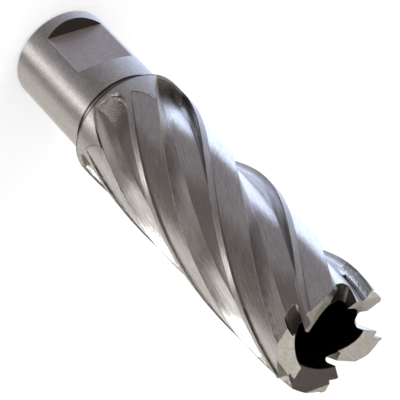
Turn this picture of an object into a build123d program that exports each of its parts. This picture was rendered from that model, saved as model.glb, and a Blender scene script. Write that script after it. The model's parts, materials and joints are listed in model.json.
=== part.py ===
from build123d import *
from math import cos, radians, sin, sqrt, tan
import os

# Annular cutter for a magnetic drill: one bar of tool steel, turned, milled and ground.
# Z runs along the axis from the end face of the shank, at Z = 0, up to the teeth.
# The first drive flat faces -Y. Lengths are in mm and angles in degrees.

# Turned blank
overall_length = 88.6
shank_diameter = 19.05
shank_length = 22.1
shank_chamfer = 0.5
groove_width = 2.3
groove_depth = 0.45
body_diameter = 22.2
pilot_hole_diameter = 6.4
core_diameter = 13.0
core_depth = 55.0
drill_point_angle = 118

# Drive flats, ground with a wheel whose flanks slope
flat_depth = 1.86
flat_start = 4.0
flat_length = 11.1
flat_end_run = 1.4
flat_spacing = 90

# Flutes and the lands between them
tooth_count = 5
helix_lead = 133.4
first_edge_angle = -51.1
rake_hook_depth = 1.25
rake_hook_angle = -2.0
rake_foot_depth = 2.25
rake_foot_angle = 1.5
floor_depth = 2.57
floor_angle = 14.0
floor_end_depth = 2.7
floor_end_angle = 27.0
back_wall_depth = 1.45
back_wall_angle = 35.4
back_edge_angle = 39.9
flute_end_gap = 0.25
flute_end_radius = 6.5
flute_end_lead_turn = 8.0
flute_end_back_turn = 1.0
flute_mouth_start = 1.0
flute_mouth_overrun = 4.0
margin_angle = 6.1
land_relief = 0.33
relief_end_gap = 3.0
relief_end_run = 6.5
relief_end_share = 0.97
relief_end_lift = 0.25
relief_ramp_angle = 5.0
relief_overrun = 3.0

# Teeth
ridge_radius = 9.2
ridge_drop = 0.1
inner_bevel_angle = 21.8
inner_clearance_angle = 14.2
outer_bevel_angle = 8.6
outer_clearance_angle = 9.1
gullet_width = 3.2
gullet_depth = 3.15
gullet_corner_radius = 1.0
gullet_offset = 1.6
gullet_lean = 24.2
gullet_skew = 5.5
gullet_fall = 43.2
tooth_gap = 3.25
gash_setback = 0.54
gash_length = 6.2
gash_width = 1.2
tooth_zone = 5.0

# Cutters reach past the blank by this much
clearance = 1.5
exit_overrun = 0.3

# Sizes that follow
shank_radius = shank_diameter / 2
body_radius = body_diameter / 2
pilot_radius = pilot_hole_diameter / 2
core_radius = core_diameter / 2
shoulder_height = shank_length + groove_width
core_bottom = overall_length - core_depth
drill_point = (core_radius - pilot_radius) / tan(radians(drill_point_angle / 2))
floor_radius = body_radius - floor_depth
land_radius = body_radius - land_relief
tooth_pitch = 360 / tooth_count
lean = tan(radians(gullet_lean))
ridge_height = overall_length - ridge_drop
edge_height = ridge_height - (body_radius - ridge_radius) * tan(radians(outer_bevel_angle))
clear_radius = body_radius + clearance
over_length = overall_length + clearance


def polar(radius, angle):
    """Point at this distance and angle from the axis."""
    return (radius * cos(radians(angle)), radius * sin(radians(angle)))


def turned_plane(height):
    """Plane square to the axis, with X towards the leading edge of the first tooth at this height."""
    angle = first_edge_angle + (height - edge_height) * 360 / helix_lead
    return Plane(origin=(0, 0, height), x_dir=(*polar(1, angle), 0), z_dir=(0, 0, 1))


def helical_sweep(low, high):
    """Sweep the sketched section up the axis, turning with the lead of the flutes."""
    with BuildLine() as axis_line:
        Line((0, 0, low), (0, 0, high))
    with BuildLine() as guide:
        Helix(pitch=helix_lead, height=high - low, radius=body_radius, center=(0, 0, low))
    sweep(path=axis_line.edge(), binormal=guide.edge())


def flute_outline(lift=0.0):
    """Space ahead of a tooth edge: hooked rake, floor and back wall. Lifting it narrows it too."""

    def at(radius, angle):
        share = angle / back_edge_angle
        turn = flute_end_lead_turn * (1 - share) + flute_end_back_turn * share
        return polar(radius + lift, angle + turn * lift)

    edge = at(body_radius, 0)
    hook = at(body_radius - rake_hook_depth, rake_hook_angle)
    foot = at(body_radius - rake_foot_depth, rake_foot_angle)
    floor_end = at(body_radius - floor_end_depth, floor_end_angle)
    back_edge = at(land_radius, back_edge_angle)
    outer_start = at(clear_radius, flute_mouth_start)
    outer_end = at(clear_radius, back_edge_angle + flute_mouth_overrun)
    with BuildSketch() as outline:
        with BuildLine():
            Line(outer_start, edge)
            ThreePointArc(edge, hook, foot)
            ThreePointArc(foot, at(floor_radius, floor_angle), floor_end)
            ThreePointArc(floor_end, at(body_radius - back_wall_depth, back_wall_angle), back_edge)
            Line(back_edge, outer_end)
            Line(outer_end, outer_start)
        make_face()
    return outline.sketch


def relief_outline(reach, lift=0.0):
    """Layer taken off the land behind the margin, back to the reach, which is an angle."""
    step_top = polar(clear_radius, -margin_angle)
    step_foot = polar(land_radius + lift, -margin_angle)
    middle = polar(land_radius + lift, -(margin_angle + reach) / 2)
    ramp_foot = polar(land_radius + lift, -reach)
    ramp_top = polar(clear_radius, -reach - relief_ramp_angle)
    with BuildSketch() as outline:
        with BuildLine():
            Line(step_top, step_foot)
            ThreePointArc(step_foot, middle, ramp_foot)
            Line(ramp_foot, ramp_top)
            Line(ramp_top, step_top)
        make_face()
    return outline.sketch


# A flute runs at full depth and then climbs out along an arc just short of the rear shoulder.
flute_climb = sqrt(flute_end_radius**2 - (flute_end_radius - floor_end_depth) ** 2)
flute_low = shoulder_height + flute_end_gap + flute_climb
climb_steps = 6
last_lift = floor_end_depth + exit_overrun
last_climb = sqrt(flute_end_radius**2 - (flute_end_radius - last_lift) ** 2)
with BuildPart() as flute_cutter:
    with BuildSketch(turned_plane(flute_low)):
        add(flute_outline())
    helical_sweep(flute_low, over_length)
with BuildPart() as flute_exit:
    for step in range(climb_steps + 1):
        climb = last_climb * step / climb_steps
        with BuildSketch(turned_plane(flute_low - climb)):
            add(flute_outline(flute_end_radius - sqrt(flute_end_radius**2 - climb**2)))
    loft()

# The relief behind each margin starts blunt at the margin and sweeps down to the back of the land,
# where the grinding wheel ran out of it along a shallow arc.
relief_reach = tooth_pitch - back_edge_angle + relief_overrun
relief_low = shoulder_height + relief_end_gap + relief_end_run
relief_steps = 5
with BuildPart() as relief_cutter:
    with BuildSketch(turned_plane(relief_low)):
        add(relief_outline(relief_reach))
    helical_sweep(relief_low, over_length)
with BuildPart() as relief_exit:
    for step in range(relief_steps + 1):
        share = relief_end_share * step / relief_steps
        reach = margin_angle + (relief_reach - margin_angle) * (1 - share**2)
        with BuildSketch(turned_plane(relief_low - relief_end_run * share)):
            add(relief_outline(reach, relief_end_lift * share**2))
    loft()

# Frame of the first tooth: X out along its edge, Y ahead in the direction of cutting.
tooth_plane = turned_plane(edge_height)


def tooth_point(out, ahead, up):
    """Point given in the frame of the first tooth."""
    return tooth_plane.from_local_coords(Vector(out, ahead, up))


def tooth_direction(out, ahead, up):
    """Direction given in the frame of the first tooth."""
    return tooth_point(out, ahead, up) - tooth_plane.origin


# A gullet is a slot through the wall, ahead of each tooth and leaning with its helix. It falls
# away outwards, so it is shallow at the core and deep in the floor of the flute.
gullet_side = Plane(
    origin=tooth_point(core_radius, 0, 0),
    x_dir=tooth_direction(0, 1, 0),
    z_dir=tooth_direction(1, 0, 0),
)
fall = tan(radians(gullet_fall))
skew = tan(radians(gullet_skew))
with BuildPart() as gullet_cutter:
    with BuildSketch(gullet_side):
        with BuildLine():
            Polyline(
                (gullet_offset - gullet_depth * lean, -gullet_depth),
                (gullet_offset + gullet_width - gullet_depth * lean, -gullet_depth),
                (gullet_offset + gullet_width + clear_radius * lean, clear_radius),
                (gullet_offset + clear_radius * lean, clear_radius),
                close=True,
            )
        outline = make_face()
        fillet(outline.vertices().group_by(Axis.Z)[0], gullet_corner_radius)
    extrude(amount=clear_radius, both=True, dir=tooth_direction(1, -fall * lean - skew, -fall))

# Near the point the rake face is ground back a little, which sets the outer corner behind the helix.
corner = tooth_point(body_radius, -gash_setback, 0)
root = tooth_point(floor_radius, 0, 0)
gash_turn = -gash_length * 360 / helix_lead
heel = tooth_point(*polar(body_radius, gash_turn), -gash_length)
gash_plane = Plane(origin=corner, x_dir=root - corner, z_dir=(root - corner).cross(heel - corner))
gash_reach = 3 * gash_length
with BuildPart() as gash_cutter:
    with BuildSketch(gash_plane):
        Rectangle(2 * floor_depth, gash_reach)
    extrude(amount=gash_width, dir=tooth_direction(0, 1, 0))
    with BuildSketch(Plane.XY.offset(edge_height - gash_reach)):
        Circle(floor_radius)
    extrude(amount=2 * gash_reach, mode=Mode.SUBTRACT)

# Each tooth has its top ground on two planes that meet in a ridge: one falls away to the core, one
# to the outer corner, and both clear the cut behind the edge.
ground_faces = [
    (-inner_bevel_angle, inner_clearance_angle),
    (outer_bevel_angle, outer_clearance_angle),
]
ridge_point = tooth_point(ridge_radius, 0, ridge_height - edge_height)
far = 2 * body_radius
behind_x = far * cos(radians(tooth_pitch)) + tooth_gap * sin(radians(tooth_pitch))
behind_y = tooth_gap * cos(radians(tooth_pitch)) - far * sin(radians(tooth_pitch))
with BuildPart() as tooth_form:
    with BuildSketch(tooth_plane.offset(-tooth_zone)):
        with BuildLine():
            Polyline(
                (tooth_gap * tan(radians(tooth_pitch / 2)), tooth_gap),
                (far, tooth_gap),
                (behind_x, behind_y),
                close=True,
            )
        make_face()
    extrude(amount=2 * tooth_zone)
    for bevel_angle, clearance_angle in ground_faces:
        fall_out = tan(radians(bevel_angle))
        fall_back = tan(radians(clearance_angle))
        slope = Plane(origin=ridge_point, z_dir=tooth_direction(fall_out, -fall_back, 1))
        split(bisect_by=slope, keep=Keep.BOTTOM)

# Everything below the teeth stays inside the envelope that trims the tooth tops.
with BuildPart() as point_envelope:
    with BuildSketch():
        Circle(far)
    extrude(amount=edge_height - tooth_zone)
    with PolarLocations(0, tooth_count):
        add(tooth_form.part)

# A drive flat is a shallow pocket right across the shank, with sloping ends.
flat_height = shank_radius - flat_depth
flat_end = flat_start + flat_length
with BuildPart() as flat_cutter:
    with BuildSketch(Plane.YZ):
        outward = 2 * flat_depth
        run = 2 * flat_end_run
        with BuildLine():
            Polyline(
                (-flat_height, flat_start),
                (-flat_height, flat_end),
                (-flat_height - outward, flat_end + run),
                (-flat_height - outward, flat_start - run),
                close=True,
            )
        make_face()
    extrude(amount=shank_radius, both=True)

with BuildPart() as annular_cutter:
    with BuildSketch(Plane.XZ):
        with BuildLine():
            Polyline(
                (pilot_radius, 0),
                (shank_radius - shank_chamfer, 0),
                (shank_radius, shank_chamfer),
                (shank_radius, shank_length),
                (shank_radius - groove_depth, shank_length),
                (shank_radius - groove_depth, shoulder_height),
                (body_radius, shoulder_height),
                (body_radius, over_length),
                (core_radius, over_length),
                (core_radius, core_bottom),
                (pilot_radius, core_bottom - drill_point),
                close=True,
            )
        make_face()
    revolve(axis=Axis.Z)
    with PolarLocations(0, tooth_count):
        add(relief_cutter.part, mode=Mode.SUBTRACT)
        add(relief_exit.part, mode=Mode.SUBTRACT)
        add(flute_cutter.part, mode=Mode.SUBTRACT)
        add(flute_exit.part, mode=Mode.SUBTRACT)
        add(gullet_cutter.part, mode=Mode.SUBTRACT)
        add(gash_cutter.part, mode=Mode.SUBTRACT)
    add(point_envelope.part, mode=Mode.INTERSECT)
    for turn in (0, -flat_spacing):
        add(flat_cutter.part, rotation=(0, 0, turn), mode=Mode.SUBTRACT)

annular_cutter.part.label = "annular_cutter"
os.makedirs("parts", exist_ok=True)
export_step(annular_cutter.part, "parts/annular_cutter.step")
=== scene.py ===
import json
import math
import bpy
from mathutils import Matrix, Vector

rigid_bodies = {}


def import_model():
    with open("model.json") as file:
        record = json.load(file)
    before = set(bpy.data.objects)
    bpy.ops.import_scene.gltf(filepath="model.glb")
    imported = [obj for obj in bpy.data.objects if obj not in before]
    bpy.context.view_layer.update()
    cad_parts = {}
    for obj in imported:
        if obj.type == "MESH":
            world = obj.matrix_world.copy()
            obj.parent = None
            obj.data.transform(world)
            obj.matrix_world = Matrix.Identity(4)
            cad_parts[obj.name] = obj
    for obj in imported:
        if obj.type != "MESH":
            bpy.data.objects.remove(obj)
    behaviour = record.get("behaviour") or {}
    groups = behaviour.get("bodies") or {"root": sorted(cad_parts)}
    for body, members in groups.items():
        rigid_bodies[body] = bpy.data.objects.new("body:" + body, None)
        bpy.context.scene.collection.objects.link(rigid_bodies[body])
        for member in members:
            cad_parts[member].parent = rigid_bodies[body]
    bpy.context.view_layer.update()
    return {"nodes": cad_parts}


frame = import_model()
for carried in bpy.context.scene.objects:
    carried.select_set(False)

# The cutter: one bar of high-speed steel, turned, bored, milled and ground all over.
# Its shape is the CAD solid's own. The steel's finish changes from the cylindrically ground
# shank to the milled flutes, the relieved lands and the surface-ground tooth tops.
cutter = frame["nodes"]["annular_cutter"]
steel = bpy.data.materials.new("ground_tool_steel")
steel.use_nodes = True
tree = steel.node_tree
shader = tree.nodes["Principled BSDF"]
shader.inputs["Metallic"].default_value = 1.0
shader.inputs["Anisotropic"].default_value = 0.9


# The helpers add their nodes to the material whose node tree is called tree at the time
def wire(source, target):
    """Link a node's output to an input, or set the input to a plain value."""
    if isinstance(source, bpy.types.NodeSocket):
        tree.links.new(source, target)
    else:
        target.default_value = source


def maths(operation, *values):
    """Math node with these inputs; gives back its output."""
    node = tree.nodes.new("ShaderNodeMath")
    node.operation = operation
    for value, socket in zip(values, node.inputs):
        wire(value, socket)
    return node.outputs[0]


def plus(first, second):
    """Sum of two values."""
    return maths("ADD", first, second)


def minus(first, second):
    """First value less the second."""
    return maths("SUBTRACT", first, second)


def times(first, *others):
    """Product of the values; of masks, only what all of them cover."""
    for other in others:
        first = maths("MULTIPLY", first, other)
    return first


def either(first, *others):
    """Highest of the values; of masks, all that one of them covers."""
    for other in others:
        first = maths("MAXIMUM", first, other)
    return first


def step(value, start, end):
    """Smooth step from 0 at the start to 1 at the end, which may be the lower value of the two."""
    node = tree.nodes.new("ShaderNodeMapRange")
    node.interpolation_type = "SMOOTHSTEP"
    wire(value, node.inputs["Value"])
    node.inputs["From Min"].default_value = start
    node.inputs["From Max"].default_value = end
    return node.outputs["Result"]


def band(value, low, high, soft):
    """1 between the two values and 0 outside, with soft ends."""
    return times(step(value, low - soft, low + soft), step(value, high + soft, high - soft))


def parts_of(direction):
    """X, Y and Z of a vector."""
    node = tree.nodes.new("ShaderNodeSeparateXYZ")
    wire(direction, node.inputs[0])
    return node.outputs


def vector(x, y, z):
    """Vector built from three values."""
    node = tree.nodes.new("ShaderNodeCombineXYZ")
    for value, socket in zip((x, y, z), node.inputs):
        wire(value, socket)
    return node.outputs[0]


def grain(place, scale, detail, rough, warp=0.0):
    """Noise texture read at this place."""
    node = tree.nodes.new("ShaderNodeTexNoise")
    wire(place, node.inputs["Vector"])
    node.inputs["Scale"].default_value = scale
    node.inputs["Detail"].default_value = detail
    node.inputs["Roughness"].default_value = rough
    node.inputs["Distortion"].default_value = warp
    return node.outputs["Fac"]


def mixed(mask, first, second, kind="FLOAT"):
    """First where the mask is 0 and second where it is 1."""
    node = tree.nodes.new("ShaderNodeMix")
    node.data_type = kind
    wire(mask, node.inputs[0])
    start, result = {"FLOAT": (2, 0), "VECTOR": (4, 1), "RGBA": (6, 2)}[kind]
    wire(first, node.inputs[start])
    wire(second, node.inputs[start + 1])
    return node.outputs[result]


def tone(red, green, blue):
    """Opaque colour."""
    return (red, green, blue, 1.0)


# Where a point lies: mm along the axis and from it, and degrees across one flute and its land,
# from a cutting edge at 0 round to the next at 72. The spare turns keep the angle above 0.
to_mm = tree.nodes.new("ShaderNodeVectorMath")
to_mm.operation = "SCALE"
wire(tree.nodes.new("ShaderNodeTexCoord").outputs["Object"], to_mm.inputs[0])
to_mm.inputs["Scale"].default_value = 1000.0
in_mm = to_mm.outputs[0]
x, y, z = parts_of(in_mm)
radius = maths("SQRT", plus(times(x, x), times(y, y)))
helix_lead = 133.4
edge_height = 88.21
first_edge = math.radians(-51.1)
tooth_pitch = 72.0
spare_turns = 4 * math.tau
helix_twist = times(minus(z, edge_height), math.tau / helix_lead)
untwisted = minus(minus(maths("ARCTAN2", y, x), first_edge), helix_twist)
pitches = maths("DIVIDE", plus(untwisted, spare_turns), math.radians(tooth_pitch))
across = times(maths("FRACT", pitches), tooth_pitch)

# How the surface faces: along the axis, and round it
facing = tree.nodes.new("ShaderNodeNewGeometry").outputs["True Normal"]
facing_x, facing_y, upward = parts_of(facing)
leaning = maths("ABSOLUTE", upward)
not_upward = step(upward, 0.6, 0.5)
sideways = maths("DIVIDE", minus(times(x, facing_y), times(y, facing_x)), radius)

# Shank: the drive flats with their edges and sloping ends, the groove before the body, and the
# rim of the body behind it. The flats' edges carry a painted highlight, and what faces up below
# the body, such as the flats' sloping ends, is painted near black as shade.
groove_start = 22.1
shoulder_height = 24.4
shank_radius = 9.525
body_radius = 11.1
on_flat = times(step(z, groove_start - 0.1, groove_start - 0.2),
                step(radius, shank_radius - 0.045, shank_radius - 0.085), step(radius, 4.0, 5.0))
on_flat_edge = times(band(z, 2.0, 21.0, 0.5), band(radius, 9.4, 9.5, 0.01))
on_cut_end = times(step(z, 24.2, 24.1), step(upward, 0.25, 0.35))
in_groove = times(band(z, groove_start - 0.05, shoulder_height + 0.05, 0.05),
                  step(radius, shank_radius - 0.075, shank_radius - 0.175))
on_rear_rim = times(band(z, shoulder_height - 0.1, shoulder_height + 0.3, 0.03),
                    step(radius, body_radius - 0.2, body_radius - 0.1))

# Lands: the relieved part with its rear end and rim, the step up to the margin, and the margin
land_start = 39.9
margin_start = 65.9
relief_end_top = 36.0
on_body = step(z, shoulder_height - 0.05, shoulder_height + 0.05)
on_relief = band(across, land_start + 0.3, margin_start - 0.2, 0.15)
near_relief_end = band(z, shoulder_height, relief_end_top, 0.05)
on_land = times(on_body, on_relief, step(radius, body_radius - 0.12, body_radius - 0.2))
on_relief_end = times(near_relief_end, on_relief, band(radius, 10.81, 11.085, 0.005))
on_relief_rim = times(near_relief_end, band(across, land_start, margin_start, 0.15),
                      step(radius, 10.6, 10.7), step(upward, 0.25, 0.4))
on_step = times(on_body, not_upward, band(across, 65.3, 66.1, 0.2), step(z, 28.0, 31.0))
on_margin = times(on_body, step(z, 27.0, 31.0), step(across, 65.7, 66.2))

# Flutes: the run-out with its bowl, the start of the back wall, and the rake wall
run_out_top = 34.0
wall_start_top = 40.0
in_flute = times(on_body, step(radius, body_radius - 0.4, body_radius - 0.5))
in_run_out = times(in_flute, step(z, run_out_top, run_out_top - 5.0), step(across, 37.5, 32.5))
in_bowl = times(in_run_out, step(sideways, -0.35, -0.2), step(upward, 0.0, 0.05))
on_wall_start = times(in_flute, step(z, wall_start_top, wall_start_top - 12.0),
                      step(across, 33.0, 35.0), step(sideways, -0.35, -0.5))
on_rake = times(in_flute, not_upward, minus(1.0, band(across, 1.7, 70.0, 0.3)))

# Teeth: their ground tops, the gullets with their corners, the flat ledge in the rake wall where
# the face that is ground back near the point ends, and the core. Gullets, corners, ledge and
# core are darkened with painted shade.
gullet_bottom = 77.0
ledge_height = 79.7
core_radius = 6.5
on_tooth_top = times(step(z, 83.0, 84.0), step(upward, 0.75, 0.82))
in_gullet = times(either(step(leaning, 0.385, 0.4),
                         times(band(across, 3.0, 26.5, 0.5), step(leaning, 0.1, 0.12))),
                  step(z, gullet_bottom, gullet_bottom + 0.2), step(upward, 0.85, 0.8))
gullet_foot = times(step(radius, 8.2, 6.9), step(across, 11.0, 15.0))
gullet_side = times(step(sideways, 0.38, 0.46), step(upward, 0.28, 0.36))
in_gullet_corner = times(in_gullet, either(gullet_foot, gullet_side))
on_rake_ledge = times(band(z, ledge_height - 1.0, ledge_height + 1.0, 0.2),
                      step(upward, 0.92, 0.97))
in_core = step(radius, core_radius + 0.12, core_radius + 0.04)

# Grinding marks: rings round shank and collar, lines along the helix on lands, margins and
# flutes, grains where the cutter left the flute, slanting strokes on the flats and straight
# ones on the tooth tops. The larger the factor, the closer the marks lie in that direction.
rings = grain(vector(times(x, 1.7), times(y, 1.7), times(z, 5.2)), 1.0, 3.0, 0.7)
mm_per_degree = 0.19
lines = grain(vector(times(across, mm_per_degree, 7.0), times(radius, 1.5), times(z, 0.4)),
              1.0, 4.0, 0.8)
grains = grain(in_mm, 3.2, 2.0, 0.7)
sidewise = plus(x, y)
flat_strokes = grain(vector(minus(times(sidewise, 0.57), times(z, 0.2)),
                            plus(times(sidewise, 1.6), times(z, 4.7)), 0.0), 1.0, 4.0, 0.75, 0.6)
top_strokes = grain(vector(times(sidewise, 2.6), times(minus(x, y), 0.5), 0.0), 1.0, 3.0, 0.6)
along_helix = either(on_land, on_relief_end, in_flute)
marks = mixed(either(along_helix, on_margin), plus(0.12, times(rings, 0.76)), lines)
marks = mixed(in_run_out, marks, grains)
marks = mixed(on_flat, marks, flat_strokes)
marks = mixed(on_tooth_top, marks, plus(0.25, times(top_strokes, 0.5)))

# Colour: bright steel between darker marks, and over it tones laid on one after another. Some
# are the steel's own, and some are painted shade or painted highlight, as noted at those rows.
# A row says where, how much of the tone shows, and the tone.
patches = grain(in_mm, 0.35, 2.0, 0.5)
painted_glints = step(grain(in_mm, 5.0, 1.0, 0.5), 0.68, 0.71)
bowl_shade_share = times(mixed(step(z, 25.4, 26.6), 0.37, 0.7), step(z, 30.0, 27.0))
rake_shade_share = mixed(step(z, 76.0, 79.0), 0.75, 0.1)
gullet_shade_share = mixed(either(step(across, 9.0, 14.0), step(radius, 8.0, 8.3)), 0.35, 0.8)
flat_tone = mixed(step(flat_strokes, 0.35, 0.65), tone(0.43, 0.395, 0.37), tone(0.59, 0.55, 0.525),
                  "RGBA")
own_tones = [
    (step(patches, 0.4, 0.7), 0.25, tone(0.5, 0.485, 0.47)),
    # Painted shade: the flutes a little darker
    (in_flute, 0.25, tone(0.48, 0.45, 0.43)),
    # Painted highlight: the start of the back wall lighter
    (on_wall_start, 0.85, tone(0.93, 0.91, 0.88)),
    # Painted shade: the run-outs darker; their grainy finish is in the marks and roughness
    (in_run_out, 0.75, tone(0.28, 0.26, 0.235)),
    # Painted shade: the bowl much darker, fading out upward
    (in_bowl, bowl_shade_share, tone(0.075, 0.066, 0.06)),
    # Painted highlight: white glints scattered over the bowl
    (times(in_bowl, painted_glints), step(z, 29.0, 25.5), tone(1.0, 0.98, 0.94)),
    # Painted shade: the rake wall darker, most of all below the teeth
    (on_rake, rake_shade_share, tone(0.2, 0.18, 0.18)),
    # Painted shade: a dark line on the step up to the margin
    (on_step, 0.6, tone(0.2, 0.19, 0.19)),
    (times(on_tooth_top, step(patches, 0.45, 0.6)), 0.5, tone(0.5, 0.5, 0.41)),
    # Painted shade: the gullets darker
    (in_gullet, gullet_shade_share, tone(0.14, 0.125, 0.09)),
    # Painted shade: the gullets' corners near black
    (in_gullet_corner, 0.75, tone(0.03, 0.027, 0.02)),
    # Painted shade: the ledge toned down, so that its flat face mirrors less
    (on_rake_ledge, 0.9, tone(0.34, 0.32, 0.31)),
    (on_flat, 1.0, flat_tone),
    # Painted highlight: a bright line along the flats' edges
    (on_flat_edge, 0.4, tone(0.95, 0.93, 0.92)),
    (on_relief_rim, 0.9, tone(0.12, 0.11, 0.11)),
    (on_rear_rim, 0.9, tone(0.12, 0.11, 0.1)),
    (in_groove, 0.95, tone(0.42, 0.39, 0.37)),
    # Painted shade: what faces up below the body, such as the flats' ends, near black
    (on_cut_end, 0.9, tone(0.07, 0.06, 0.055)),
    # Painted shade: the inside of the core near black
    (in_core, 0.85, tone(0.09, 0.08, 0.075)),
]
colour = mixed(step(marks, 0.34, 0.66), tone(0.46, 0.447, 0.438), tone(0.73, 0.72, 0.71), "RGBA")
for where, share, own_tone in own_tones:
    colour = mixed(times(where, share), colour, own_tone, "RGBA")
wire(colour, shader.inputs["Base Color"])

# Roughness and bump: the marks catch the light, and the edges are a little worn. The marks'
# depth and the edges' radius are in metres.
mark_depth = 0.00003
edge_radius = 0.00011
roughness = plus(0.31, times(marks, 0.12))
roughness = mixed(along_helix, roughness, plus(0.16, times(marks, 0.12)))
roughness = mixed(in_run_out, roughness, plus(0.26, times(marks, 0.2)))
roughness = mixed(on_relief_rim, roughness, 0.6)
roughness = mixed(on_tooth_top, roughness, 0.24)
wire(roughness, shader.inputs["Roughness"])

bump = tree.nodes.new("ShaderNodeBump")
bump.inputs["Strength"].default_value = 0.5
bump.inputs["Distance"].default_value = mark_depth
worn_edge = tree.nodes.new("ShaderNodeBevel")
worn_edge.samples = 4
worn_edge.inputs["Radius"].default_value = edge_radius
wire(worn_edge.outputs[0], bump.inputs["Normal"])
wire(times(marks, plus(1.0, times(in_run_out, 8.0))), bump.inputs["Height"])
wire(bump.outputs["Normal"], shader.inputs["Normal"])

# The steel's shine spreads along the axis on the shank, the collar and the margins, square to
# the helix on lands and flutes, and along a diagonal on the tooth tops
helix_angle = math.atan(math.tau * body_radius / helix_lead)
round_x = maths("DIVIDE", times(y, -1.0), radius)
round_y = maths("DIVIDE", x, radius)
lengthwise = vector(0.0, 0.0, 1.0)
crosswise = vector(times(round_x, math.cos(helix_angle)), times(round_y, math.cos(helix_angle)),
                   -math.sin(helix_angle))
diagonal = vector(1.0, -1.0, 0.0)
shine_way = mixed(along_helix, lengthwise, crosswise, "VECTOR")
shine_way = mixed(on_tooth_top, shine_way, diagonal, "VECTOR")
wire(shine_way, shader.inputs["Tangent"])

for slot in cutter.material_slots:
    slot.material = steel

# The studio: a plain pale floor in a white surround, one soft lamp, and a big drum of cards
# round it all. Only the steel's reflections see the drum, and they don't see floor or lamp.
bpy.ops.mesh.primitive_plane_add(size=6.0, location=(0.0, 0.0, 0.0))
floor = bpy.context.object
floor.name = "studio_floor"
paper = bpy.data.materials.new("pale_paper")
paper.use_nodes = True
tree = paper.node_tree
tree.nodes.clear()
matt = tree.nodes.new("ShaderNodeBsdfDiffuse")
matt.inputs["Color"].default_value = tone(0.6, 0.6, 0.6)
glow = tree.nodes.new("ShaderNodeEmission")
glow.inputs["Strength"].default_value = 0.42
lit_paper = tree.nodes.new("ShaderNodeAddShader")
wire(matt.outputs[0], lit_paper.inputs[0])
wire(glow.outputs[0], lit_paper.inputs[1])
wire(lit_paper.outputs[0], tree.nodes.new("ShaderNodeOutputMaterial").inputs["Surface"])
floor.data.materials.append(paper)
floor.visible_glossy = False

world = bpy.data.worlds.new("white_surround")
world.use_nodes = True
world.node_tree.nodes["Background"].inputs["Color"].default_value = tone(1.0, 1.0, 1.0)
world.node_tree.nodes["Background"].inputs["Strength"].default_value = 1.0
bpy.context.scene.world = world

# The drum of cards. Bearings go round from +X and heights up from the floor, in degrees.
drum_radius = 2.8
bpy.ops.mesh.primitive_uv_sphere_add(segments=64, ring_count=32, radius=drum_radius)
drum = bpy.context.object
drum.name = "card_drum"
card_tones = bpy.data.materials.new("card_tones")
card_tones.use_nodes = True
tree = card_tones.node_tree
tree.nodes.clear()
in_degrees = 180 / math.pi
x, y, z = parts_of(tree.nodes.new("ShaderNodeTexCoord").outputs["Object"])
bearing = times(maths("ARCTAN2", y, x), in_degrees)
height = times(maths("ARCSINE", maths("DIVIDE", z, drum_radius)), in_degrees)
outward = vector(*(maths("DIVIDE", length, drum_radius) for length in (x, y, z)))


def card(seen, bearing_from, bearing_to, low, high, soft, card_tone):
    """Hang a soft-edged card over what is seen, between two bearings and two heights."""
    middle = (bearing_from + bearing_to) / 2
    half = (bearing_to - bearing_from) / 2
    off = maths("ABSOLUTE", maths("WRAP", minus(bearing, middle), 180.0, -180.0))
    mask = times(step(off, half + soft, half - soft), band(height, low, high, soft))
    return mixed(mask, seen, card_tone, "RGBA")


def disc(seen, bearing_at, height_at, reach, soft, disc_tone):
    """Hang a soft-edged round card over what is seen."""
    turn, rise = math.radians(bearing_at), math.radians(height_at)
    cosine = tree.nodes.new("ShaderNodeVectorMath")
    cosine.operation = "DOT_PRODUCT"
    wire(outward, cosine.inputs[0])
    cosine.inputs[1].default_value = (math.cos(rise) * math.cos(turn),
                                      math.cos(rise) * math.sin(turn), math.sin(rise))
    away = times(maths("ARCCOSINE", maths("MINIMUM", cosine.outputs["Value"], 1.0)), in_degrees)
    return mixed(step(away, reach + soft, reach - soft), seen, disc_tone, "RGBA")


# Grey near wall, with paler and darker patches
seen = disc(tone(0.23, 0.195, 0.185), -110, -35, 40, 18, tone(0.32, 0.30, 0.32))
seen = card(seen, -64, -28, -60, -24, 9, tone(0.18, 0.155, 0.155))
seen = disc(seen, -95, 6, 22, 12, tone(0.39, 0.37, 0.35))
seen = card(seen, -128, -98, -18, -10, 3.5, tone(0.56, 0.53, 0.52))
seen = card(seen, -136, -119, -6, 9, 4, tone(0.12, 0.10, 0.10))
seen = card(seen, -188, -134, -15, 9, 5, tone(0.12, 0.10, 0.10))
# Pale far wall, with a dark ceiling and a darker round patch
seen = card(seen, 24, 185, -52, 46, 4, tone(0.78, 0.73, 0.68))
seen = card(seen, 24, 62, -52, -30, 4, tone(0.97, 0.92, 0.87))
seen = card(seen, 130, 185, 8, 50, 10, tone(0.98, 0.96, 0.88))
seen = disc(seen, 0, 90, 20, 8, tone(0.125, 0.1, 0.1))
seen = disc(seen, 133, -9, 16, 5, tone(0.36, 0.335, 0.32))
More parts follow.
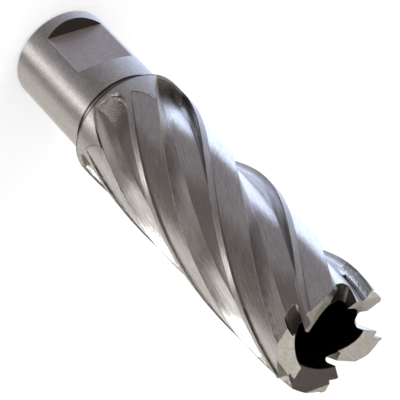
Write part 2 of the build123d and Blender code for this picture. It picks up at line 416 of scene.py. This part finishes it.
# White and bluish cards low down
seen = card(seen, 90, 150, -52, -24, 8, tone(1.15, 1.12, 1.1))
seen = disc(seen, 175, -56, 31, 4, tone(1.47, 1.66, 2.15))
seen = disc(seen, 0, -84, 14, 4, tone(1.3, 1.42, 1.7))
# White cards for the back walls on the near side, and the narrow one behind the bright stripe
# along shank and margins
seen = card(seen, -50, -26, -9, 2, 4, tone(1.6, 1.57, 1.55))
seen = card(seen, -30, 6, -11, 10, 4, tone(1.4, 1.37, 1.33))
seen = card(seen, -20, -5, 4, 23, 3, tone(21.5, 21.0, 20.3))
lit = tree.nodes.new("ShaderNodeEmission")
wire(seen, lit.inputs["Color"])
lit.inputs["Strength"].default_value = 1.0
wire(lit.outputs[0], tree.nodes.new("ShaderNodeOutputMaterial").inputs["Surface"])
card_tones.cycles.emission_sampling = "NONE"
drum.data.materials.append(card_tones)
drum.visible_camera = False
drum.visible_diffuse = False
drum.visible_shadow = False

# One soft lamp, up on the left, which the steel doesn't mirror
soft_box = bpy.data.lights.new("soft_box", "AREA")
soft_box.shape = "DISK"
soft_box.size = 0.6
soft_box.energy = 4.0
lamp = bpy.data.objects.new("soft_box", soft_box)
lamp.location = (-0.5, -0.9, 1.1)
middle_of_cutter = Vector((0, 0, 0.05))
lamp.rotation_euler = (middle_of_cutter - lamp.location).to_track_quat("-Z", "Y").to_euler()
bpy.context.collection.objects.link(lamp)
lamp.visible_glossy = False

# The camera stands where the photograph was taken from and is rolled with it
lens = bpy.data.cameras.new("photo_camera")
lens.sensor_width = 36.0
lens.sensor_height = 36.0
lens.lens = 226.1
lens.clip_start = 0.01
lens.clip_end = 10.0
camera = bpy.data.objects.new("photo_camera", lens)
bpy.context.collection.objects.link(camera)
camera_place = Vector((0.20064, -0.27514, 0.31763))
right = Vector((-0.83934, -0.08561, 0.53683))
up = Vector((-0.28655, -0.76951, -0.57075))
camera_turn = Matrix((right, up, right.cross(up))).transposed().to_4x4()
camera.matrix_world = Matrix.Translation(camera_place) @ camera_turn
bpy.context.scene.camera = camera
bpy.context.scene.view_settings.view_transform = "Standard"
